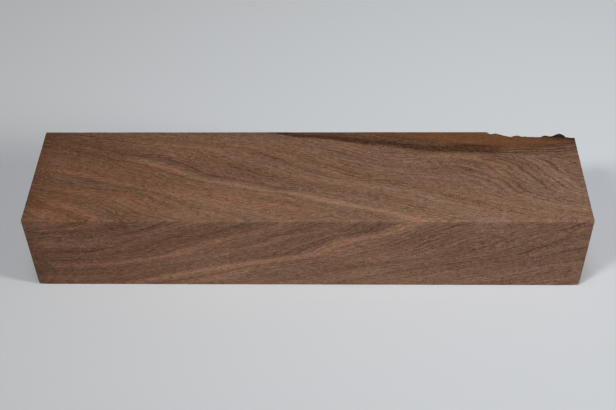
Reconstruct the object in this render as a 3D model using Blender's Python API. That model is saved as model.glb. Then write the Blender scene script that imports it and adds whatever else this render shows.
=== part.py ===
"""A caucasian walnut turning blank.

One sawn block, lying on its lower face. Near the right end the saw ran out of the log along the top
rear edge, so the rear face there is the tree's own surface, with a few flakes of bark still on it.
X is the length, -Y the front and +Z up. The origin is the middle of the lower face.
"""

import math
import random
from collections import namedtuple

import bmesh
import bpy
import numpy as np
from mathutils import Vector, noise

MM = 0.001

LENGTH = 300 * MM
WIDTH = 70.5 * MM
HEIGHT = 51 * MM

# The sawn edges are only rubbed, and the two lower edges across the ends have taken knocks.
EDGE_EASE = 0.45 * MM
LOWER_END_EASE = 1.2 * MM
EASE_STEPS = 3

# The tree's surface is a depth of missing wood behind the rear face. "Drop" is the distance below the
# top face. The surface meets the top edge near the right end, and starts further left lower down.
START_AT_TOP = 101 * MM
START_LEAD = 1.1
START_WANDER = 7 * MM
START_WANDER_SIZE = 11 * MM
RUN_IN_AT_TOP = 12 * MM
RUN_IN_GROWTH = 0.9
FULL_DEPTH_AT_TOP = 4.3 * MM
FULL_DEPTH_GROWTH = 0.085
DEEPENING = 0.02

# The ragged edge that the tree's surface leaves on the top face: x and depth, in millimetres.
RAGGED_EDGE_MM = (
    (80, -3.0), (101, 0.0), (103, 2.2), (106, 1.2), (110, 3.0), (114, 4.4), (118, 3.0),
    (120, 4.0), (126, 4.4), (132, 4.5), (138, 4.9), (144, 4.4), (150, 5.4),
)
RAGGED_EDGE_FADE = 6 * MM

# Swellings and lengthwise ridges of the wood under the bark, all a little off the block's own length.
Ridge = namedtuple("Ridge", "height length width")
RIDGES = (
    Ridge(1.1 * MM, 45 * MM, 19 * MM),
    Ridge(0.6 * MM, 24 * MM, 3.6 * MM),
    Ridge(0.3 * MM, 9 * MM, 2.1 * MM),
)
GRAIN_SLOPE = 0.1

# Flakes of bark: the first ones are sawn through by the top face, the others lie at random below.
Flake = namedtuple("Flake", "x drop half_length half_height thickness")
SAWN_FLAKES = (
    Flake(141.2 * MM, 0, 4.0 * MM, 5.0 * MM, 2.6 * MM),
    Flake(135.4 * MM, 0, 4.2 * MM, 3.0 * MM, 1.1 * MM),
)
LOOSE_FLAKES = 18
FLAKE_SEED = 4
FLAKE_STEEPNESS = 3
FLAKE_RAGGEDNESS = 0.4
FLAKE_RAG_SIZE = 3 * MM

GRID_STEP = 1.2 * MM
CUTTER_MARGIN = 1.5 * MM
CUTTER_BACK = 12 * MM


def clear_scene():
    for old in list(bpy.data.objects):
        bpy.data.objects.remove(old, do_unlink=True)


def walnut_material():
    material = bpy.data.materials.new("walnut")
    material.use_nodes = True
    shader = material.node_tree.nodes["Principled BSDF"]
    shader.inputs["Base Color"].default_value = (0.165, 0.088, 0.054, 1)
    shader.inputs["Roughness"].default_value = 0.55
    shader.inputs["Metallic"].default_value = 0
    return material


def add_object(name, bm, material):
    bmesh.ops.recalc_face_normals(bm, faces=bm.faces)
    mesh = bpy.data.meshes.new(name)
    bm.to_mesh(mesh)
    bm.free()
    mesh.materials.append(material)
    added = bpy.data.objects.new(name, mesh)
    bpy.context.scene.collection.objects.link(added)
    return added


def sawn_block(material):
    """The whole block as it left the saw, with its edges eased."""
    bm = bmesh.new()
    bmesh.ops.create_cube(bm, size=1)
    bmesh.ops.scale(bm, vec=(LENGTH, WIDTH, HEIGHT), verts=bm.verts)
    bmesh.ops.translate(bm, vec=(0, 0, HEIGHT / 2), verts=bm.verts)
    weight = bm.edges.layers.float.new("bevel_weight_edge")
    for edge in bm.edges:
        one, other = (vertex.co for vertex in edge.verts)
        lower_end = one.x == other.x and max(one.z, other.z) < HEIGHT / 2
        edge[weight] = 1 if lower_end else EDGE_EASE / LOWER_END_EASE
    block = add_object("walnut_blank", bm, material)
    ease = block.modifiers.new("eased_edges", "BEVEL")
    ease.limit_method = "WEIGHT"
    ease.width = LOWER_END_EASE
    ease.segments = EASE_STEPS
    return block


def start_of_tree_surface(drop):
    """Where along the block the tree's surface leaves the sawn rear face."""
    wander = START_WANDER * noise.noise(Vector((drop / START_WANDER_SIZE, 0, 1)))
    return START_AT_TOP - START_LEAD * drop + wander


def smooth_depth(x, drop):
    """Depth of the bare wood behind the rear face before its ridges, below zero outside the block."""
    start = start_of_tree_surface(drop)
    run_in = RUN_IN_AT_TOP + RUN_IN_GROWTH * drop
    along = min((x - start) / run_in, 1)
    full = FULL_DEPTH_AT_TOP + FULL_DEPTH_GROWTH * drop
    return full * along * (2 - along) + DEEPENING * max(x - start - run_in, 0)


def ridge_relief(x, drop):
    """Height of the swellings and ridges, each kind from its own layer of noise."""
    across = drop + GRAIN_SLOPE * x
    return sum(
        ridge.height * noise.noise(Vector((x / ridge.length, across / ridge.width, layer)))
        for layer, ridge in enumerate(RIDGES, start=3)
    )


def bare_wood_depth(x, drop):
    """Depth of the tree's surface without bark, which follows the ragged edge near the top face."""
    edge_x, edge_depth = zip(*RAGGED_EDGE_MM)
    depth = smooth_depth(x, drop) + ridge_relief(x, drop)
    at_edge = float(np.interp((x + START_LEAD * drop) / MM, edge_x, edge_depth)) * MM
    near_top = math.exp(-((drop / RAGGED_EDGE_FADE) ** 2))
    return depth + near_top * (at_edge - depth)


def bark_flakes():
    """The sawn flakes, and loose ones that lie along the grain, thicker towards the right end."""
    draw = random.Random(FLAKE_SEED)
    flakes = list(SAWN_FLAKES)
    for drop in np.linspace(0.16, 0.98, LOOSE_FLAKES) * HEIGHT:
        start = start_of_tree_surface(drop)
        share = draw.uniform(0.25, 1)
        flakes.append(
            Flake(
                x=start + share * (LENGTH / 2 - start),
                drop=drop,
                half_length=draw.uniform(5, 13) * MM,
                half_height=draw.uniform(2, 4.5) * MM,
                thickness=draw.uniform(0.9, 1.3 + share) * MM,
            )
        )
    return flakes


def bark_thickness(x, drop, flakes):
    """Thickness of the bark on the wood: the thickest flake there, with a broken outline."""
    rag = noise.noise(Vector((x / FLAKE_RAG_SIZE, drop / FLAKE_RAG_SIZE, 9)))
    thickest = 0
    for flake in flakes:
        along = (x - flake.x) / flake.half_length
        across = (drop - flake.drop) / flake.half_height
        inside = 1 - math.hypot(along, across) - FLAKE_RAGGEDNESS * rag
        thickest = max(thickest, flake.thickness * min(max(inside * FLAKE_STEEPNESS, 0), 1))
    return thickest


def evenly(low, high):
    """Values from low to high, about a grid step apart."""
    return np.linspace(low, high, round((high - low) / GRID_STEP) + 1)


def tree_surface_cutter(material):
    """All that lies outside the tree: its inner side is the tree's surface, its outer side is flat."""
    flakes = bark_flakes()
    leftmost = START_AT_TOP - START_LEAD * HEIGHT - 6 * MM
    stations = evenly(leftmost, LENGTH / 2 + CUTTER_MARGIN)
    drops = evenly(-CUTTER_MARGIN, HEIGHT + CUTTER_MARGIN)
    bm = bmesh.new()
    rows = []
    for drop in drops:
        inside = min(max(drop, 0), HEIGHT)
        row = []
        for x in stations:
            missing = bare_wood_depth(x, inside) - bark_thickness(x, inside, flakes)
            row.append(bm.verts.new((x, WIDTH / 2 - missing, HEIGHT - drop)))
        rows.append(row)
    for upper, lower in zip(rows, rows[1:]):
        for i in range(len(stations) - 1):
            bm.faces.new((upper[i], upper[i + 1], lower[i + 1], lower[i]))
    outer = bmesh.ops.extrude_face_region(bm, geom=bm.faces[:])["geom"]
    for element in outer:
        if isinstance(element, bmesh.types.BMVert):
            element.co.y = WIDTH / 2 + CUTTER_BACK
    cutter = add_object("outside_the_tree", bm, material)
    cutter.hide_render = True
    cutter.display_type = "WIRE"
    return cutter


def main():
    clear_scene()
    walnut = walnut_material()
    block = sawn_block(walnut)
    live_edge = block.modifiers.new("live_edge", "BOOLEAN")
    live_edge.operation = "DIFFERENCE"
    live_edge.object = tree_surface_cutter(walnut)


main()
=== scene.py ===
"""The looks of a walnut turning blank: its grain, its live edge and the studio that it lies in.

The wood's colour is worked out inside the solid, so each growth layer runs on round every edge and shows
again on the ends. The mesh is in metres. The material's own places and sizes are in millimetres.
"""

import math
import random
from collections import namedtuple

import bpy
import numpy as np
from mathutils import Matrix, Vector, noise


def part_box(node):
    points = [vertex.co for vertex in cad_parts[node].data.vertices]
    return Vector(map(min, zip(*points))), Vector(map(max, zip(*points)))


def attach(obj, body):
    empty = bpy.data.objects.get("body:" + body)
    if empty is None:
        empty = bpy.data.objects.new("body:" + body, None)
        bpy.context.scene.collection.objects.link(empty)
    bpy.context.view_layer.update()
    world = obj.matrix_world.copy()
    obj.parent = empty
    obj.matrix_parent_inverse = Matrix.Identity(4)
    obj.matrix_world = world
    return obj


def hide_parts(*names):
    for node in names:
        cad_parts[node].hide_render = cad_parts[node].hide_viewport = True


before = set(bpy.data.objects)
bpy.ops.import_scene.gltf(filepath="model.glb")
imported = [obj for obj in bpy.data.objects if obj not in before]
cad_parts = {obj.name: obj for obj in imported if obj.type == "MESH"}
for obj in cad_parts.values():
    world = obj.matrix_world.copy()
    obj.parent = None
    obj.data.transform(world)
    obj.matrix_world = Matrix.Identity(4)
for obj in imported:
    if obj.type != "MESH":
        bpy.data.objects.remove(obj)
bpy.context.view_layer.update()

MM = 0.001
LOW, HIGH = (np.array(corner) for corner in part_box("walnut_blank"))
LENGTH, WIDTH, HEIGHT = HIGH - LOW

# The sawn edges are only rubbed, and the two lower edges across the ends have taken knocks.
EDGE_EASE = 0.45 * MM
LOWER_END_EASE = 1.2 * MM
KNOCK_REACH = 4 * MM
LIVE_RIM_EASE = 0.12 * MM
LIVE_RIM_FADE = 0.5 * MM
EASE_UNEVENNESS = 0.35
EASE_UNEVEN_SIZE = 8 * MM

# The lattice that the surface is made of: its lines close up at the edges and over the tree's surface,
# which lies right of UNEVEN_FROM. A strip of points beside the rear face moves in with the tree's surface.
EDGE_LINES = np.array((0, 0.12, 0.28, 0.45, 0.7, 0.95, 1.2, 1.6)) * MM
COARSE_STEP = 3.2 * MM
FINE_STEP = 0.6 * MM
UNEVEN_FROM = 38 * MM
MOVED_STRIP = 25 * MM
RIM_STRIP = 7 * MM
SHARP_ANGLE = 35
# The gap between the sides on the flat map of the surface, in millimetres.
MAP_GAP = 1.2

# The tree's surface is a depth of missing wood behind the rear face. "Drop" is the distance below the
# top face. The surface meets the top edge near the right end, and starts further left lower down.
START_AT_TOP = 101 * MM
START_LEAD = 1.1
START_WANDER = 7 * MM
START_WANDER_SIZE = 11 * MM
RUN_IN_AT_TOP = 12 * MM
RUN_IN_GROWTH = 0.9
FULL_DEPTH_AT_TOP = 4.3 * MM
FULL_DEPTH_GROWTH = 0.085
DEEPENING = 0.02

# The ragged edge that the tree's surface leaves on the top face: x and depth, in millimetres. It loses its
# hold on the surface further down, and fine crumbs have broken off along it.
RAGGED_EDGE_MM = (
    (80, -3.0), (101, 0.0), (103, 2.2), (106, 1.2), (110, 3.0), (114, 4.4), (118, 3.0),
    (120, 4.0), (126, 4.4), (132, 4.5), (138, 4.9), (144, 4.4), (150, 5.4),
)
RAGGED_EDGE_FADE = 6 * MM
EDGE_CRUMBS = 0.45 * MM
EDGE_CRUMB_SIZE = 1.5 * MM

# Swellings and lengthwise ridges of the wood under the bark. The last ones, its fibres, aren't in the solid.
Ridge = namedtuple("Ridge", "height length width")
RIDGES = (
    Ridge(1.1 * MM, 45 * MM, 19 * MM),
    Ridge(0.6 * MM, 24 * MM, 3.6 * MM),
    Ridge(0.3 * MM, 9 * MM, 2.1 * MM),
    Ridge(0.16 * MM, 6 * MM, 1.3 * MM),
)
GRAIN_SLOPE = 0.1

# Flakes of bark: the first ones are sawn through by the top face, the others lie at random below.
Flake = namedtuple("Flake", "x drop half_length half_height thickness")
SAWN_FLAKES = (
    Flake(141.2 * MM, 0, 4.0 * MM, 5.0 * MM, 2.6 * MM),
    Flake(135.4 * MM, 0, 4.2 * MM, 3.0 * MM, 1.1 * MM),
)
LOOSE_FLAKES = 18
FLAKE_SEED = 4
FLAKE_STEEPNESS = 3
FLAKE_RAGGEDNESS = 0.4
FLAKE_RAG_SIZE = 3 * MM
BARK_ROUGHNESS = 0.4
BARK_ROUGH_LENGTH = 2.6 * MM
BARK_ROUGH_WIDTH = 1.3 * MM

# Marks at the vertices: the depth that stands for no tree's surface, how deep the tree's surface lies where
# it is fully marked, and how far from an edge its wear reaches.
NO_TREE_SURFACE = -5 * MM
TREE_MARK_FADE = 0.12 * MM
WEAR_REACH = 1.6 * MM

# The camera of the photograph, from a fit to the block's corners. Angles are in degrees.
CAMERA_LENS_MM = 61.59
SENSOR_WIDTH_MM = 36
CAMERA_PLACE = Vector((0.01396, -0.41762, 0.44625))
CAMERA_YAW = -1.896
CAMERA_PITCH = 45.064
CAMERA_ROLL = 1.298

# The softboxes: where each hangs, what it points at, its side, its spread in degrees, its power and its
# colour.
Softbox = namedtuple("Softbox", "name place aim size spread watts colour")
SOFTBOXES = (
    Softbox("softbox_above", (0.04, -0.22, 1.49), (0.19, 0.02, 0), 0.5, 46, 0.61, (0.95, 0.99, 1.07)),
    Softbox("softbox_left", (-2.75, -2.14, 3.74), (0, 0, 0), 0.96, 100, 24, (1, 0.975, 0.92)),
    Softbox("softbox_right", (4.96, -1.22, 1.17), (0, 0, 0), 0.96, 44, 15, (1, 0.975, 0.92)),
)
ROOM_LIGHT = 0.08
ROOM_COLOUR = (0.95, 0.98, 1, 1)

# The floor lies a hair below the blank, so that the two never share a plane.
FLOOR_RADIUS = 6
FLOOR_CORNERS = 64
FLOOR_GAP = 0.02 * MM
FLOOR_COLOUR = (0.735, 0.757, 0.785, 1)

# What the studio light makes of a surface: it shows as its colour times the light, plus some gloss.
LIGHT_LEVEL = 0.8
GLOSS_LEVEL = 0.012


def start_of_tree_surface(drop):
    """Where along the block the tree's surface leaves the sawn rear face."""
    wander = START_WANDER * noise.noise(Vector((drop / START_WANDER_SIZE, 0, 1)))
    return START_AT_TOP - START_LEAD * drop + wander


def smooth_depth(x, drop):
    """Depth of the bare wood behind the rear face before its ridges, below zero outside the block."""
    start = start_of_tree_surface(drop)
    run_in = RUN_IN_AT_TOP + RUN_IN_GROWTH * drop
    along = min((x - start) / run_in, 1)
    full = FULL_DEPTH_AT_TOP + FULL_DEPTH_GROWTH * drop
    return full * along * (2 - along) + DEEPENING * max(x - start - run_in, 0)


def ridge_relief(x, drop):
    """Height of the swellings and ridges, each kind from its own layer of noise."""
    across = drop + GRAIN_SLOPE * x
    return sum(
        ridge.height * noise.noise(Vector((x / ridge.length, across / ridge.width, layer)))
        for layer, ridge in enumerate(RIDGES, start=3)
    )


def bare_wood_depth(x, drop):
    """Depth of the tree's surface without bark, which follows the ragged edge near the top face."""
    edge_x, edge_depth = zip(*RAGGED_EDGE_MM)
    depth = smooth_depth(x, drop) + ridge_relief(x, drop)
    at_edge = float(np.interp((x + START_LEAD * drop) / MM, edge_x, edge_depth)) * MM
    if at_edge > EDGE_CRUMBS:
        at_edge += EDGE_CRUMBS * noise.noise(Vector((x / EDGE_CRUMB_SIZE, drop / EDGE_CRUMB_SIZE, 7)))
    near_top = math.exp(-((drop / RAGGED_EDGE_FADE) ** 2))
    return depth + near_top * (at_edge - depth)


def bark_flakes():
    """The sawn flakes, and loose ones that lie along the grain, thicker towards the right end."""
    draw = random.Random(FLAKE_SEED)
    flakes = list(SAWN_FLAKES)
    for drop in np.linspace(0.16, 0.98, LOOSE_FLAKES) * HEIGHT:
        start = start_of_tree_surface(drop)
        share = draw.uniform(0.25, 1)
        flakes.append(
            Flake(
                x=start + share * (LENGTH / 2 - start),
                drop=drop,
                half_length=draw.uniform(5, 13) * MM,
                half_height=draw.uniform(2, 4.5) * MM,
                thickness=draw.uniform(0.9, 1.3 + share) * MM,
            )
        )
    return flakes


def bark_thickness(x, drop, flakes):
    """Thickness of the bark on the wood: the thickest flake there, with a broken outline and surface."""
    rag = noise.noise(Vector((x / FLAKE_RAG_SIZE, drop / FLAKE_RAG_SIZE, 9)))
    thickest = 0
    for flake in flakes:
        along = (x - flake.x) / flake.half_length
        across = (drop - flake.drop) / flake.half_height
        inside = 1 - math.hypot(along, across) - FLAKE_RAGGEDNESS * rag
        thickest = max(thickest, flake.thickness * min(max(inside * FLAKE_STEEPNESS, 0), 1))
    crack = noise.noise(Vector((x / BARK_ROUGH_LENGTH, drop / BARK_ROUGH_WIDTH, 12)))
    return thickest * (1 + BARK_ROUGHNESS * crack)


def spaced(start, stop, step):
    """Values from start to stop, about a step apart."""
    return np.linspace(start, stop, round((stop - start) / step) + 1)


def lattice_lines():
    """The places of the lattice's lines along the three axes."""
    inset = EDGE_LINES[-1]
    x_lines = (
        LOW[0] + EDGE_LINES,
        spaced(LOW[0] + inset, UNEVEN_FROM, COARSE_STEP),
        spaced(UNEVEN_FROM, HIGH[0] - inset, FINE_STEP),
        HIGH[0] - EDGE_LINES,
    )
    y_lines = (
        LOW[1] + EDGE_LINES,
        spaced(LOW[1] + inset, HIGH[1] - MOVED_STRIP, COARSE_STEP * 1.5),
        spaced(HIGH[1] - MOVED_STRIP, HIGH[1] - RIM_STRIP, COARSE_STEP / 2),
        spaced(HIGH[1] - RIM_STRIP, HIGH[1] - inset, FINE_STEP),
        HIGH[1] - EDGE_LINES,
    )
    z_lines = (
        LOW[2] + EDGE_LINES,
        spaced(LOW[2] + inset, HIGH[2] - inset, FINE_STEP),
        HIGH[2] - EDGE_LINES,
    )
    return [np.unique(np.concatenate(lines).round(7)) for lines in (x_lines, y_lines, z_lines)]


def tree_surface_grids(x_lines, z_lines):
    """The bare wood's depth and the missing depth, at each crossing of the rear face's lines."""
    flakes = bark_flakes()
    bare = np.full((len(x_lines), len(z_lines)), NO_TREE_SURFACE)
    missing = np.zeros_like(bare)
    for i, x in enumerate(x_lines):
        if x < UNEVEN_FROM:
            continue
        for k, z in enumerate(z_lines):
            drop = HIGH[2] - z
            bare[i, k] = bare_wood_depth(x, drop)
            missing[i, k] = max(bare[i, k] - bark_thickness(x, drop, flakes), 0)
    return bare, missing


def smooth_step(values):
    """0 below 0, 1 above 1 and a soft rise between them."""
    clipped = np.clip(values, 0, 1)
    return clipped * clipped * (3 - 2 * clipped)


def ease_radius(points, missing):
    """How far each edge is rubbed round, measured along the lattice and a little uneven."""
    from_end = LENGTH / 2 - np.abs(points[:, 0])
    above_floor = points[:, 2] - LOW[2]
    knocked = smooth_step(1 - from_end / KNOCK_REACH) * smooth_step(1 - above_floor / KNOCK_REACH)
    radius = EDGE_EASE + (LOWER_END_EASE - EDGE_EASE) * knocked
    uneven = np.array([noise.noise(Vector(point) / EASE_UNEVEN_SIZE) for point in points])
    radius *= 1 + EASE_UNEVENNESS * uneven
    live = smooth_step(missing / LIVE_RIM_FADE) * (points[:, 1] > HIGH[1] - EDGE_LINES[-1])
    return radius + (LIVE_RIM_EASE - radius) * live


def eased(points, radius):
    """The box's surface with its edges rounded: each point is kept a radius away from a smaller box."""
    radius = radius[:, None]
    core = np.clip(points, LOW + radius, HIGH - radius)
    away = points - core
    return core + away * radius / np.linalg.norm(away, axis=1, keepdims=True)


def side_quads(ids):
    """The lattice's quads on each side of the block, facing out, by the side's name."""

    def quads(sheet):
        return np.stack((sheet[:-1, :-1], sheet[1:, :-1], sheet[1:, 1:], sheet[:-1, 1:]), -1).reshape(-1, 4)

    return {
        "top": quads(ids[:, :, -1]),
        "front": quads(ids[:, 0, :]),
        "bottom": quads(ids[:, :, 0])[:, ::-1],
        "rear": quads(ids[:, -1, :])[:, ::-1],
        "left": quads(ids[0, :, :])[:, ::-1],
        "right": quads(ids[-1, :, :]),
    }


def map_places(side, points):
    """Where the side's points lie on the flat map, in millimetres from its lower left, and the map's side."""
    x, y, z = ((points - LOW) / MM).T
    width, height = WIDTH / MM, HEIGHT / MM
    row = [MAP_GAP]
    for tall in (width, height, width, height):
        row.append(row[-1] + tall + MAP_GAP)
    places = {
        "top": (x, row[0] + y),
        "front": (x, row[1] + z),
        "bottom": (x, row[2] + y),
        "rear": (x, row[3] + z),
        "left": (y, row[4] + z),
        "right": (width + MAP_GAP + y, row[4] + z),
    }
    return np.stack(places[side], -1) + (MAP_GAP, 0), row[4] + height + MAP_GAP


def shell_ids(counts):
    """A running number for each lattice point on the outside of the block, and -1 for those inside."""
    outside = np.zeros(counts, bool)
    for axis in range(3):
        ends = np.moveaxis(outside, axis, 0)
        ends[0] = True
        ends[-1] = True
    ids = np.full(counts, -1)
    ids[outside] = np.arange(outside.sum())
    return ids


def add_faces(mesh, points, quads):
    mesh.vertices.add(len(points))
    mesh.vertices.foreach_set("co", points.ravel())
    mesh.loops.add(quads.size)
    mesh.loops.foreach_set("vertex_index", quads.ravel())
    mesh.polygons.add(len(quads))
    mesh.polygons.foreach_set("loop_start", np.arange(0, quads.size, 4))
    mesh.update(calc_edges=True)
    mesh.validate()


def add_marks(mesh, lattice, points, bare, missing):
    """Marks each vertex: how far beyond the bare wood, how much on the tree's surface, how near an edge."""
    from_faces = np.sort(np.minimum(lattice - LOW, HIGH - lattice), axis=1)
    on_rear = lattice[:, 1] == HIGH[1]
    marks = {
        "beyond_wood": (points[:, 1] - (HIGH[1] - bare)) / MM,
        "tree_surface": on_rear * smooth_step(missing / TREE_MARK_FADE),
        "edge": 1 - np.clip(from_faces[:, 1] / WEAR_REACH, 0, 1),
    }
    for name, values in marks.items():
        mesh.attributes.new(name, "FLOAT", "POINT").data.foreach_set("value", values)


def add_flat_map(mesh, sides, points):
    """Lays the six sides out on one square, each flat and at the same scale."""
    mapped = []
    for side, faces in sides.items():
        places, span = map_places(side, points[faces.ravel()])
        mapped.append(places / span)
    flat = mesh.uv_layers.new(name="OFBake")
    flat.data.foreach_set("uv", np.concatenate(mapped).ravel())


def blank_mesh():
    """The block's whole surface, with the tree's surface modelled and marked at its vertices."""
    x_lines, y_lines, z_lines = lattice_lines()
    ids = shell_ids([len(x_lines), len(y_lines), len(z_lines)])
    i, j, k = np.nonzero(ids >= 0)
    lattice = np.stack((x_lines[i], y_lines[j], z_lines[k]), -1)

    bare_grid, missing_grid = tree_surface_grids(x_lines, z_lines)
    bare, missing = bare_grid[i, k], missing_grid[i, k]
    points = eased(lattice, ease_radius(lattice, missing))
    moved = np.clip(1 - (HIGH[1] - lattice[:, 1]) / MOVED_STRIP, 0, 1)
    points[:, 1] -= missing * moved

    mesh = bpy.data.meshes.new("blank")
    sides = side_quads(ids)
    add_faces(mesh, points, np.concatenate(list(sides.values())))
    add_marks(mesh, lattice, points, bare, missing)
    add_flat_map(mesh, sides, points)
    mesh.shade_smooth()
    mesh.set_sharp_from_angle(angle=math.radians(SHARP_ANGLE))
    return mesh


class Field:
    """A number that varies through the wood: the output of a shader node."""

    def __init__(self, socket):
        self.socket = socket
        self.tree = socket.id_data

    def __add__(self, other):
        return maths("ADD", self, other)

    def __sub__(self, other):
        return maths("SUBTRACT", self, other)

    def __mul__(self, other):
        return maths("MULTIPLY", self, other)

    def __truediv__(self, other):
        return maths("DIVIDE", self, other)

    def __rsub__(self, other):
        return maths("SUBTRACT", other, self)

    __radd__ = __add__
    __rmul__ = __mul__


def connect(value, socket):
    """Gives a socket a field or a constant."""
    if isinstance(value, Field):
        value.tree.links.new(value.socket, socket)
    else:
        socket.default_value = value


def maths(operation, *values):
    """What an arithmetic node makes of fields and numbers."""
    tree = next(value.tree for value in values if isinstance(value, Field))
    node = tree.nodes.new("ShaderNodeMath")
    node.operation = operation
    for value, socket in zip(values, node.inputs):
        connect(value, socket)
    return Field(node.outputs["Value"])


def size_of(field):
    """The field without its sign."""
    return maths("ABSOLUTE", field)


def ramp(field, start, stop):
    """A soft rise from 0 at start to 1 at stop, which may be the lower of the two."""
    node = field.tree.nodes.new("ShaderNodeMapRange")
    node.interpolation_type = "SMOOTHSTEP"
    connect(field, node.inputs["Value"])
    node.inputs["From Min"].default_value = start
    node.inputs["From Max"].default_value = stop
    return Field(node.outputs["Result"])


def blend(share, one, other):
    """One field where share is 0 and the other where it is 1."""
    return one + (other - one) * share


def curve(field, points):
    """A smooth curve through the points, each a place on the field and the value there."""
    places, values = zip(*points)
    low, high = min(values), max(values)
    node = field.tree.nodes.new("ShaderNodeFloatCurve")
    line = node.mapping.curves[0]
    while len(line.points) < len(points):
        line.points.new(0.5, 0.5)
    for knot, place, value in zip(line.points, places, values):
        knot.location = ((place - places[0]) / (places[-1] - places[0]), (value - low) / (high - low))
        knot.handle_type = "AUTO_CLAMPED"
    node.mapping.update()
    connect((field - places[0]) / (places[-1] - places[0]), node.inputs["Value"])
    return Field(node.outputs["Value"]) * (high - low) + low


def grain(kind, *fields):
    """A kind of noise read at three fields, swinging by about its strength either way."""
    tree = fields[0].tree
    vector = tree.nodes.new("ShaderNodeCombineXYZ")
    for field, size, socket in zip(fields, kind.sizes, vector.inputs):
        connect(field / size, socket)
    node = tree.nodes.new("ShaderNodeTexNoise")
    node.inputs["Scale"].default_value = 1
    node.inputs["Detail"].default_value = kind.detail
    node.inputs["Roughness"].default_value = kind.roughness
    tree.links.new(vector.outputs["Vector"], node.inputs["Vector"])
    return (Field(node.outputs["Fac"]) * 2 - 1) * kind.strength


def mark(tree, name):
    """A number kept at the mesh's vertices."""
    node = tree.nodes.new("ShaderNodeAttribute")
    node.attribute_name = name
    return Field(node.outputs["Fac"])


def shown_as(red, green, blue):
    """The surface colour that shows as these photograph levels, 0 to 255, in the studio light."""
    colour = []
    for level in (red, green, blue):
        share = level / 255
        linear = share / 12.92 if share <= 0.04045 else ((share + 0.055) / 1.055) ** 2.4
        colour.append(max(linear - GLOSS_LEVEL, 0.001) / LIGHT_LEVEL)
    return (*colour, 1)


def colour_ramp(field, stops):
    """A colour read from stops, each a tone and the photograph levels there."""
    node = field.tree.nodes.new("ShaderNodeValToRGB")
    elements = node.color_ramp.elements
    while len(elements) < len(stops):
        elements.new(0.5)
    first, last = stops[0][0], stops[-1][0]
    for element, (tone, levels) in zip(elements, stops):
        element.position = (tone - first) / (last - first)
        element.color = shown_as(*levels)
    connect((field - first) / (last - first), node.inputs["Fac"])
    return Field(node.outputs["Color"])


def blend_colours(share, one, other, way="MIX"):
    """One colour where share is 0, and where it is 1 the other or what the way makes of both.

    The node has sockets of the same name for numbers and colours, so the colour ones go by number.
    """
    tree = next(value.tree for value in (share, one, other) if isinstance(value, Field))
    node = tree.nodes.new("ShaderNodeMix")
    node.data_type = "RGBA"
    node.blend_type = way
    connect(share, node.inputs[0])
    connect(one, node.inputs[6])
    connect(other, node.inputs[7])
    return Field(node.outputs[2])


# Where the growth layers cut the top face: a layer that crosses the front arris at some x lies this many
# millimetres further left at each distance behind the front face. The lines fan out towards the ends.
LAYERS_BACK_LEFT = (
    (0, 0), (8, 17), (16, 35), (21, 51), (24, 69), (29, 93), (33, 106), (42, 141), (50, 173), (70.5, 250),
)
LAYERS_BACK_MIDDLE = (
    (0, 0), (6, 17), (10.6, 37), (14.6, 50), (19.2, 64), (24, 90), (28.6, 110), (34, 130),
    (42.6, 150), (50, 165), (57, 182), (70.5, 262),
)
LAYERS_BACK_RIGHT = (
    (0, 0), (10, 42), (20, 74), (23, 80), (30, 86), (37.5, 93), (45, 98.5), (50, 109),
    (53, 130), (57, 190), (70.5, 270),
)
# The same on the front face, by distance below the top face.
LAYERS_DOWN = (
    (0, 0), (7, 15), (12, 31), (19.5, 47), (26, 63), (29, 76), (33, 95), (37.5, 116), (45, 141), (51, 168),
)
# How far in front of the rear edge the sapwood ends on the top face, by x, and where the dark band beside it
# has its middle and how thick it is there. To the left a strip of heartwood lies between the two. Each
# millimetre further down, both lie further from the rear by the lean.
SAPWOOD_DEPTH = (
    (-60, -6), (0, -1), (30, 1.6), (47, 3.4), (57, 5.3), (65, 6.6), (72, 8.6), (76, 10.8), (82, 12),
    (100, 12.3), (124, 12.5), (131, 11.2), (140, 9.7), (150, 8),
)
BAND_DEPTH = (
    (-60, -6), (-15, 0.6), (-6, 2.6), (5, 3.8), (17, 5.4), (26, 7.2), (35, 8.5), (44, 9.4), (53, 11.5),
    (64, 13.6), (72, 14.4), (80, 14.3), (92, 14.4), (105, 15), (130, 15), (150, 13),
)
BAND_THICKNESS = ((-60, 2), (-6, 3), (20, 3.8), (50, 5), (70, 6.2), (150, 6.6))
SAPWOOD_LEAN = 0.2

# The heartwood's colour by tone, where 1 is one step of the photograph's red level.
HEARTWOOD = (
    (-60, (50, 36, 31)),
    (-30, (81, 58, 46)),
    (0, (112, 83, 64.5)),
    (25, (136, 105, 86)),
    (50, (158, 127, 107)),
)
WARM_TINT = (1.10, 0.95, 0.895, 1)
COOL_TINT = (0.95, 0.997, 1.05, 1)
SAPWOOD = (
    (-60, (42, 29, 23)),
    (-30, (71, 48, 34)),
    (0, (104, 71, 50)),
    (30, (132, 95, 69)),
)
TREE_SURFACE = (
    (-40, (46, 33, 25)),
    (0, (98, 72, 52)),
    (30, (136, 108, 82)),
)
BARK = (
    (-30, (24, 19, 18)),
    (0, (50, 39, 36)),
    (30, (82, 68, 60)),
)
# The photograph levels of the rind under the bark, the stain beside it at the right end, the end grain and
# the scuffed edges.
RIND = (74, 42, 28)
STAIN = (54, 35, 29)
END_GRAIN = (52, 36, 28)
SCUFFED_EDGE = (140, 112, 92)

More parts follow.
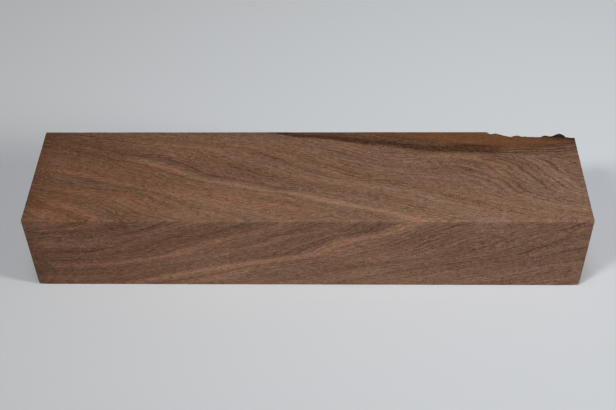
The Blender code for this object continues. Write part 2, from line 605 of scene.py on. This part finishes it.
# Streaks that stand out: their growth layer, half their width on that scale, how much lighter and how much
# warmer they are, and the stretch of x where they show. The narrow dark ones are single ring lines.
Streak = namedtuple("Streak", "layer half_width tone warmth first last")
STREAKS = (
    Streak(68, 9, 10, 0, -125, 100),
    Streak(61, 6.5, 16, 1, -125, 100),
    Streak(80, 2.6, -13, 0, -150, 30),
    Streak(50, 3, -5, 0.3, -60, 60),
    Streak(-9, 9, 12, 1.2, -150, -50),
    Streak(-9, 6, 6, 0.7, -60, 10),
    Streak(20, 7, 6, 0.4, -60, 5),
    Streak(-39, 6, -8, 0.6, -120, -60),
    Streak(-58, 5, 5, 0.3, -115, -50),
    Streak(-108, 4, 9, 1, -150, -105),
    Streak(-118, 3, -8, 0.5, -150, -105),
)
FRONT_STREAKS = (
    Streak(66, 16, 5, -0.1, -90, 75),
    Streak(-9, 8, 6, 0.5, -100, 15),
    Streak(47, 5, -7, -0.6, -60, 60),
    Streak(12, 5, -8, -0.5, -50, 30),
    Streak(-29, 5, -12, -0.9, -60, -5),
    Streak(-70, 6, -9, -0.7, -100, -55),
    Streak(-98, 9, -9, -0.9, -150, -115),
    Streak(-67, 9, 8, 0, -150, -100),
    Streak(-54, 3, -14, 0.3, -150, -95),
    Streak(-29, 3, -13, 0.3, -150, -100),
    Streak(0, 8, 6, 1.2, -140, -100),
    Streak(173, 2, -16, 0, 40, 150),
    Streak(201, 6, 8, 0.9, 40, 105),
    Streak(262, 4, -9, 0.8, 100, 150),
    Streak(276, 4, -9, 0.8, 100, 150),
)
# Lines of the curly patch in the right half of the top face.
CURL_STREAKS = (
    Streak(181, 1.2, -15, 0.3, 66, 95),
    Streak(189, 1, -12, 0.3, 79, 98),
    Streak(196, 1.1, -19, 0.5, 83, 107),
    Streak(205.5, 1, -12, 0.2, 92, 113),
    Streak(214.5, 1, -14, 0.2, 105, 121),
    Streak(221.5, 1.1, -20, 0.2, 109, 145),
    Streak(232, 1.1, -20, 0.4, 120, 151),
    Streak(243.5, 1.4, -25, 0.8, 132, 150),
)

# How steeply the fibres climb to the right.
FIBRE_SLOPE = 0.17
# The stretches of x over which the layers turn from the middle curve to the left and to the right one.
TURN_LEFT = (-50, -110)
TURN_RIGHT = (20, 110)
# How much less the layers lean on their way down, for each millimetre behind the front face, and the x at
# which they level off near the left end of the front face, and how softly.
LEAN_LOSS = 0.7 / 70.5
LEVEL_FROM = -112
LEVEL_SOFTNESS = 25
# How far apart the rings lie on the scale of the layers, and how unlike its neighbour each one is.
RING_SPACING = 6
RING_UNLIKENESS = 0.73
# The wave of the loose lines at the right end of the dark band, and how much darker the band is.
LOOSE_LINE_SPACING = 2.1
BAND_ON_HEARTWOOD = -47
BAND_ON_SAPWOOD = -46

# Noise in the wood: its sizes in the directions that it is read in, in millimetres or on the scale of the
# layers, its strength, and how fine and how strong its detail is.
Noise = namedtuple("Noise", "sizes strength detail roughness", defaults=(2, 0.5))
FIBRE_SWAY = Noise((40, 25, 25), 2.5, detail=1)
LAYER_SWAY = Noise((38, 18, 18), 6, detail=1)
LAYER_RIPPLE = Noise((24, 6, 6), 5)
SAPWOOD_WANDER = Noise((22, 12, 12), 1.2)
RING_WANDER = Noise((40, 80, 50), 2, detail=1)
RING_STRENGTH = Noise((1, 45, 40), 1, detail=1)
LAYER_BANDS = Noise((15, 150, 70), 25, detail=4, roughness=0.62)
CLOUDS = Noise((60, 22, 22), 14)
SHIMMER = Noise((4.5, 14, 14), 13)
WARM_BANDS = Noise((13, 90, 60), 2.3)
LONG_FIBRES = Noise((36, 0.8, 0.8), 22, roughness=0.6)
MIDDLE_FIBRES = Noise((12, 0.45, 0.45), 23, detail=0)
SHORT_FIBRES = Noise((0.65, 0.3, 0.3), 34, detail=0)
PORES = Noise((5, 0.42, 0.42), 1, detail=0)
FIBRE_PATCHES = Noise((28, 9, 9), 0.35, detail=1)
BAND_THREADS = Noise((34, 0.6, 7), 1, roughness=0.6)
TREE_ROUGHNESS = Noise((7, 1.1, 1.1), 34, detail=4, roughness=0.65)
SCUFFS = Noise((5, 5, 5), 1, detail=3)

Place = namedtuple("Place", "x back down front across rise")


def places_in_wood(tree):
    """Millimetres along the blank, behind the front face, below the top and before the rear face.

    Across and rise are the two directions across the fibres, which climb gently to the right.
    """
    coordinates = tree.nodes.new("ShaderNodeTexCoord")
    split = tree.nodes.new("ShaderNodeSeparateXYZ")
    tree.links.new(coordinates.outputs["Object"], split.inputs[0])
    x, y, z = (Field(socket) * (1 / MM) for socket in split.outputs)
    back = y - LOW[1] / MM
    down = HIGH[2] / MM - z
    front = HIGH[1] / MM - y
    sway = grain(FIBRE_SWAY, x, back, down)
    climb = x * FIBRE_SLOPE + sway
    return Place(x, back, down, front, back + climb, down + climb)


def curly_patch(place):
    """1 towards the rear of the right half, where the figure is curly."""
    return ramp(place.x, 50, 90) * ramp(place.back, 20, 27)


def growth_layers(place):
    """The same number all over one growth layer: the x at which it crosses the front top arris."""
    left = curve(place.back, LAYERS_BACK_LEFT)
    middle = curve(place.back, LAYERS_BACK_MIDDLE)
    right = curve(place.back, LAYERS_BACK_RIGHT)
    behind = blend(ramp(place.x, *TURN_LEFT), middle, left)
    behind = blend(ramp(place.x, *TURN_RIGHT), behind, right)
    below = curve(place.down, LAYERS_DOWN) * (1 - place.back * LEAN_LOSS)
    level_off = maths("SMOOTH_MAX", place.x, LEVEL_FROM, LEVEL_SOFTNESS)
    along = blend(ramp(place.down, 0, 16), place.x, level_off)
    sway = grain(LAYER_SWAY, place.x, place.back, place.down)
    ripple = grain(LAYER_RIPPLE, place.x, place.back, place.down)
    calm = 1 - curly_patch(place) * 0.6
    return along + behind + below + (sway + ripple) * calm


def inside_of(place, depths):
    """How far inside a line on the top face a point lies. The line is given by its depth from the rear."""
    wander = grain(SAPWOOD_WANDER, place.x, place.back, place.down)
    return place.front - curve(place.x, depths) - place.down * SAPWOOD_LEAN + wander


def streak_sums(place, layers, streaks):
    """The streaks' tone, warmth and cover: each is full in the middle and fades to its sides and its ends."""
    tone = 0
    warmth = 0
    cover = 0
    for streak in streaks:
        across = ramp(size_of(layers - streak.layer), streak.half_width, streak.half_width * 0.25)
        middle = (streak.first + streak.last) / 2
        reach = (streak.last - streak.first) / 2
        share = across * ramp(size_of(place.x - middle), reach, reach * 0.6)
        tone = share * streak.tone + tone
        warmth = share * streak.warmth + warmth
        cover = maths("MAXIMUM", share, cover)
    return tone, warmth, cover


def ring_lines(place, layers):
    """Each ring darkens towards its outer side and ends in a crisp line, some rings more than others."""
    slant = place.back - place.down
    ring = layers / RING_SPACING + grain(RING_WANDER, layers, place.x, slant)
    within = maths("FRACT", ring)
    number = maths("FLOOR", ring)
    late = ramp(within, 0.35, 0.93) * ramp(within, 1, 0.94)
    strength = ramp(grain(RING_STRENGTH, number * RING_UNLIKENESS, place.x, slant), -0.3, 0.35)
    faint = ramp(place.x, -95, -125) * ramp(place.back, 34, 20) * 0.6
    darkness = ramp(place.x, -60, 60) * 6 + 21
    return (4 - late * darkness) * strength * (1 - faint)


def general_warmth(place, layers):
    """How warm the colour is apart from the streaks: in bands, and warmer towards the left end."""
    slant = place.back - place.down
    warm_bands = grain(WARM_BANDS, layers, place.x, slant)
    to_left = ramp(place.x, 40, -120) * 0.5
    to_right = ramp(place.x, 70, 130) * 0.35
    on_front = ramp(place.down, 0, 2.5) * ramp(place.back, 2.5, 0)
    low_left = ramp(place.x, -105, -130) * ramp(place.back, 30, 16) * (1 - on_front) * 0.6
    return warm_bands + to_left - 0.35 + low_left - to_right


def heartwood_figure(place, layers):
    """Light and dark along the growth layers, and how warm the colour is."""
    slant = place.back - place.down
    curly = curly_patch(place)
    bands = grain(LAYER_BANDS, layers, place.x, slant)
    clouds = grain(CLOUDS, place.x, place.back, place.down)
    shimmer = grain(SHIMMER, layers, place.x, slant) * curly
    tone = clouds + shimmer + ring_lines(place, layers)
    warmth = general_warmth(place, layers)
    below_arris = ramp(place.down, 0.2, 2.5)
    for streaks, share in ((STREAKS, 1), (FRONT_STREAKS, below_arris), (CURL_STREAKS, curly)):
        streak_tone, streak_warmth, cover = streak_sums(place, layers, streaks)
        tone = streak_tone * share + tone
        warmth = streak_warmth * share + warmth
        bands = bands * (1 - cover * share * 0.7)
    return tone + bands, warmth


def fibre_tone(place):
    """Fine fibres, and pores as short dark dashes, along the fibres on the faces and round on the ends."""
    where = (place.x, place.across, place.rise)
    finest = grain(SHORT_FIBRES, *where) * (ramp(place.x, -150, 150) * 0.5 + 0.8)
    fibres = grain(LONG_FIBRES, *where) + grain(MIDDLE_FIBRES, *where) + finest
    pores = ramp(grain(PORES, *where), 0.15, 0.5) * -16
    contrast = grain(FIBRE_PATCHES, *where) + 1
    return fibres * contrast, pores * contrast


def painted_light_and_tone(place):
    """Painted light and shade mixed with the wood's own tone: the block is lighter near the front top arris,
    on the top face and to the right, and darker beside its left end, as the studio light falls on it.
    """
    on_top = ramp(place.down, 2.5, 0)
    # Painted highlight: the top face lighter towards the front arris, where the light falls most.
    painted_light_near_arris = ramp(place.back, 40, 0) * on_top * 8
    # Lighter to the right: partly painted light and partly the wood's own tone.
    to_right = ramp(place.x, -150, -30) * 13 + ramp(place.x, -60, 90) * on_top * 5
    # Lighter low on the front face towards the left.
    low_front = ramp(place.down, 14, 38) * ramp(place.back, 6, 0) * ramp(place.x, -120, -60) * 5
    # Painted shade beside the left end.
    painted_shade_at_left_end = ramp(place.x, -138, -149) * -9
    # The top face is painted a little lighter than the sides, as the light from above falls on it.
    return painted_light_near_arris + to_right + low_front + painted_shade_at_left_end + on_top * 2.5 - 7


def dark_band(place, beyond_sapwood):
    """The dark band beside the sapwood: streaky, with a branch above it, and loose lines at its right."""
    beyond_band = inside_of(place, BAND_DEPTH)
    reach = curve(place.x, BAND_THICKNESS) * 0.5
    threads = grain(BAND_THREADS, place.x, beyond_band, place.down)
    to_side = size_of(beyond_band) / reach + threads * 0.9
    whole = ramp(to_side, 1.5, 0.45)
    wave = maths("COSINE", beyond_band * (math.tau / LOOSE_LINE_SPACING))
    loose = ramp(wave + threads * 1.6, -0.2, 0.9) * ramp(to_side, 1.5, 1.0)
    band = blend(ramp(place.x, 98, 114), whole, loose * 0.55 + whole * 0.25)
    beside_sapwood = size_of(beyond_sapwood - 1)
    branch = ramp(beside_sapwood + threads * 0.9, 1.9, 0.1) * ramp(place.x, 20, 55) * 0.85
    between = ramp(beyond_sapwood, -0.8, 0.8) * ramp(beyond_band, 0.8, -0.8) * (threads * 0.6 + 0.6)
    above = maths("MAXIMUM", branch * ramp(place.x, 90, 72), between * ramp(place.x, 84, 74))
    edge = ramp(beside_sapwood + threads * 0.8, 1.8, 0.2) * ramp(place.x, 100, 132) * 0.8
    return maths("MAXIMUM", maths("MAXIMUM", band, above), edge)


def sawn_colour(place, fibres, pores):
    """Heartwood, sapwood towards the tree's surface, and the dark band beside it."""
    layers = growth_layers(place)
    inside = inside_of(place, SAPWOOD_DEPTH)
    figure, warmth = heartwood_figure(place, layers)
    band = dark_band(place, inside)
    # The heartwood's tone takes in painted light and shade over the block, beside the wood's own tone.
    heart_tone = figure * (1 - band * 0.7) + fibres + pores + painted_light_and_tone(place)
    heart = colour_ramp(heart_tone + band * BAND_ON_HEARTWOOD, HEARTWOOD)
    heart = blend_colours(ramp(warmth - band, 0, 1.2), heart, WARM_TINT, "MULTIPLY")
    heart = blend_colours(ramp(warmth, 0, -1), heart, COOL_TINT, "MULTIPLY")
    sap_tone = figure * 0.35 + fibres * 0.7 + pores * 0.5 + 2
    sap = colour_ramp(sap_tone + band * BAND_ON_SAPWOOD, SAPWOOD)
    return blend_colours(ramp(inside, 0.4, -0.6), heart, sap)


def darkened(colour, place, beyond):
    """The sawn colour, darker close under the bark, in the stain at the right end and on the end grain."""
    rind = ramp(beyond, -1.1, -0.1)
    stain = ramp(beyond, -4.5, -0.5) * ramp(place.x, 126, 149)
    end_grain = ramp(size_of(place.x), 149.3, 149.9)
    colour = blend_colours(rind * 0.6, colour, shown_as(*RIND))
    colour = blend_colours(stain * 0.8, colour, shown_as(*STAIN))
    return blend_colours(end_grain * 0.45, colour, shown_as(*END_GRAIN))


def bumps(relief):
    """The tilt that a fine relief gives the surface, from its height in millimetres."""
    node = relief.tree.nodes.new("ShaderNodeBump")
    node.inputs["Strength"].default_value = 0.6
    node.inputs["Distance"].default_value = 1 * MM
    connect(relief, node.inputs["Height"])
    return Field(node.outputs["Normal"])


def wood_material():
    """Walnut: sawn heartwood and sapwood, the tree's own surface, and bark."""
    material = bpy.data.materials.new("walnut")
    material.use_nodes = True
    tree = material.node_tree
    place = places_in_wood(tree)
    fibres, pores = fibre_tone(place)
    rough_tone = grain(TREE_ROUGHNESS, place.x, place.rise, place.across)
    beyond = mark(tree, "beyond_wood")
    on_tree = mark(tree, "tree_surface")
    worn = mark(tree, "edge")

    colour = darkened(sawn_colour(place, fibres, pores), place, beyond)
    colour = blend_colours(on_tree, colour, colour_ramp(rough_tone, TREE_SURFACE))
    colour = blend_colours(ramp(beyond, 0.08, 0.32), colour, colour_ramp(rough_tone, BARK))
    scuffs = ramp(grain(SCUFFS, place.x, place.back, place.down), -0.1, 0.4)
    colour = blend_colours(worn * scuffs * 0.14, colour, shown_as(*SCUFFED_EDGE))
    roughness = 0.56 + fibres * -0.002 + pores * -0.006 + on_tree * 0.25 + worn * -0.06
    relief = fibres * 0.0008 + pores * 0.004 + rough_tone * on_tree * 0.004

    shader = tree.nodes["Principled BSDF"]
    connect(colour, shader.inputs["Base Color"])
    connect(roughness, shader.inputs["Roughness"])
    connect(bumps(relief), shader.inputs["Normal"])
    shader.inputs["IOR"].default_value = 1.45
    shader.inputs["Specular IOR Level"].default_value = 0.22
    return material


def walnut_blank():
    blank = bpy.data.objects.new("blank", blank_mesh())
    bpy.context.scene.collection.objects.link(blank)
    blank.data.materials.append(wood_material())
    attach(blank, "root")
    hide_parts("walnut_blank")
    return blank


def pale_floor_material():
    material = bpy.data.materials.new("pale_floor")
    material.use_nodes = True
    shader = material.node_tree.nodes["Principled BSDF"]
    shader.inputs["Base Color"].default_value = FLOOR_COLOUR
    shader.inputs["Roughness"].default_value = 0.6
    shader.inputs["Specular IOR Level"].default_value = 0.25
    return material


def floor():
    """A plain pale table top that fills the photograph's view."""
    height = LOW[2] - FLOOR_GAP
    corners = []
    for angle in np.linspace(0, math.tau, FLOOR_CORNERS, endpoint=False):
        corners.append((math.cos(angle) * FLOOR_RADIUS, math.sin(angle) * FLOOR_RADIUS, height))
    mesh = bpy.data.meshes.new("floor")
    mesh.from_pydata(corners, [], [tuple(range(FLOOR_CORNERS))])
    mesh.materials.append(pale_floor_material())
    top = bpy.data.objects.new("floor", mesh)
    bpy.context.scene.collection.objects.link(top)


def studio_light():
    """A dim room and the softboxes."""
    world = bpy.data.worlds.new("room")
    world.use_nodes = True
    room = world.node_tree.nodes["Background"]
    room.inputs["Color"].default_value = ROOM_COLOUR
    room.inputs["Strength"].default_value = ROOM_LIGHT
    bpy.context.scene.world = world
    for box in SOFTBOXES:
        light = bpy.data.lights.new(box.name, "AREA")
        light.shape = "SQUARE"
        light.size = box.size
        light.spread = math.radians(box.spread)
        light.energy = box.watts
        light.color = box.colour
        lamp = bpy.data.objects.new(box.name, light)
        lamp.location = box.place
        lamp.rotation_euler = (Vector(box.aim) - Vector(box.place)).to_track_quat("-Z", "Y").to_euler()
        bpy.context.scene.collection.objects.link(lamp)


def camera():
    """The photograph's camera: yaw turns it right, pitch down, and roll about its own axis."""
    yaw, pitch, roll = (math.radians(angle) for angle in (CAMERA_YAW, CAMERA_PITCH, CAMERA_ROLL))
    ahead = Vector((math.sin(yaw) * math.cos(pitch), math.cos(yaw) * math.cos(pitch), -math.sin(pitch)))
    level = Vector((math.cos(yaw), -math.sin(yaw), 0))
    below = ahead.cross(level)
    right = level * math.cos(roll) + below * math.sin(roll)
    down = below * math.cos(roll) - level * math.sin(roll)
    lens = bpy.data.cameras.new("camera")
    lens.sensor_width = SENSOR_WIDTH_MM
    lens.lens = CAMERA_LENS_MM
    view = bpy.data.objects.new("camera", lens)
    turn = Matrix((right, -down, -ahead)).transposed().to_4x4()
    view.matrix_world = Matrix.Translation(CAMERA_PLACE) @ turn
    bpy.context.scene.collection.objects.link(view)
    bpy.context.scene.camera = view


def main():
    walnut_blank()
    floor()
    studio_light()
    camera()
    bpy.context.scene.view_settings.view_transform = "Standard"


main()
